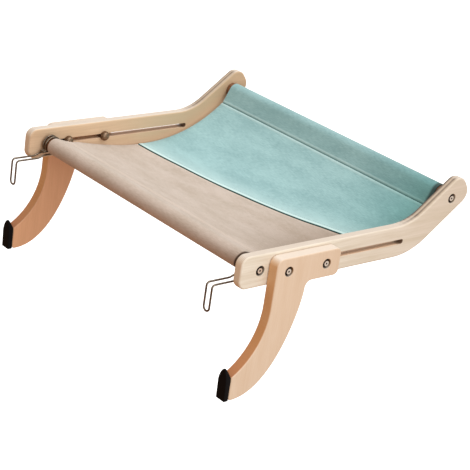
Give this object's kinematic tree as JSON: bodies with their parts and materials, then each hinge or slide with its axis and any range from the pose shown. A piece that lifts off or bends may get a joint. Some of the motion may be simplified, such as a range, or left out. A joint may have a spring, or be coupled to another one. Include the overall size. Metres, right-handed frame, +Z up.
{
  "type": "cat window perch",
  "caption": "Hammock bed for a cat that hooks over a window sill: plywood side panels, cloth slung between round bars, sliding curved legs with rubber feet.",
  "frame": {"origin": "midway between the two wire hooks, where the top inner edge of a window sill sits in their bends", "axes": "+X along the bars from the left panel to the right one, +Y away from the wall towards the raised end, +Z up"},
  "size_m": [0.5836, 0.4798, 0.274],
  "materials": {
    "plywood": "sanded birch plywood with clear matt lacquer",
    "leg_wood": "sanded solid wood with clear matt lacquer",
    "bar_wood": "turned dowel, oiled",
    "beige_cloth": "plain woven canvas",
    "blue_cloth": "plain woven canvas",
    "foot_rubber": "matt moulded rubber",
    "bolt_steel": "zinc plated",
    "black_steel": "black oxide",
    "insert_brass": "turned",
    "hook_wire": "bright drawn wire"
  },
  "bodies": {
    "frame": {"side_panel_left": "plywood", "side_panel_right": "plywood", "front_bar": "bar_wood", "rear_bar": "bar_wood", "front_cloth": "beige_cloth", "rear_cloth": "blue_cloth", "bar_bolt_front_left": "bolt_steel", "bar_bolt_front_right": "bolt_steel", "bar_bolt_rear_left": "bolt_steel", "bar_bolt_rear_right": "bolt_steel", "bar_washer_front_left": "black_steel", "bar_washer_front_right": "black_steel", "bar_washer_rear_left": "black_steel", "bar_washer_rear_right": "black_steel", "bar_insert_front_left": "insert_brass", "bar_insert_front_right": "insert_brass", "bar_insert_rear_left": "insert_brass", "bar_insert_rear_right": "insert_brass"},
    "leg_left_body": {"leg_left": "leg_wood", "foot_pad_left": "foot_rubber", "leg_bolt_front_left": "bolt_steel", "leg_bolt_rear_left": "bolt_steel", "leg_washer_front_left": "black_steel", "leg_washer_rear_left": "black_steel", "leg_cap_nut_front_left": "bolt_steel", "leg_cap_nut_rear_left": "bolt_steel"},
    "leg_right_body": {"leg_right": "leg_wood", "foot_pad_right": "foot_rubber", "leg_bolt_front_right": "bolt_steel", "leg_bolt_rear_right": "bolt_steel", "leg_washer_front_right": "black_steel", "leg_washer_rear_right": "black_steel", "leg_cap_nut_front_right": "bolt_steel", "leg_cap_nut_rear_right": "bolt_steel"},
    "hook_left_body": {"sill_hook_left": "hook_wire"},
    "hook_right_body": {"sill_hook_right": "hook_wire"}
  },
  "joints": [
    {"name": "leg_slide_left", "type": "slide", "parent": "frame", "child": "leg_left_body", "axis": [0, 1, 0], "range_m": [-0.0134, 0.1656]},
    {"name": "leg_slide_right", "type": "slide", "parent": "frame", "child": "leg_right_body", "axis": [0, 1, 0], "range_m": [-0.0134, 0.1656]},
    {"name": "hook_turn_left", "type": "hinge", "parent": "frame", "child": "hook_left_body", "pos_m": [-0.249, 0.0665, 0.0193], "axis": [1, 0, 0], "range_deg": [-75, 105]},
    {"name": "hook_turn_right", "type": "hinge", "parent": "frame", "child": "hook_right_body", "pos_m": [0.249, 0.0665, 0.0193], "axis": [1, 0, 0], "range_deg": [-75, 105]}
  ]
}
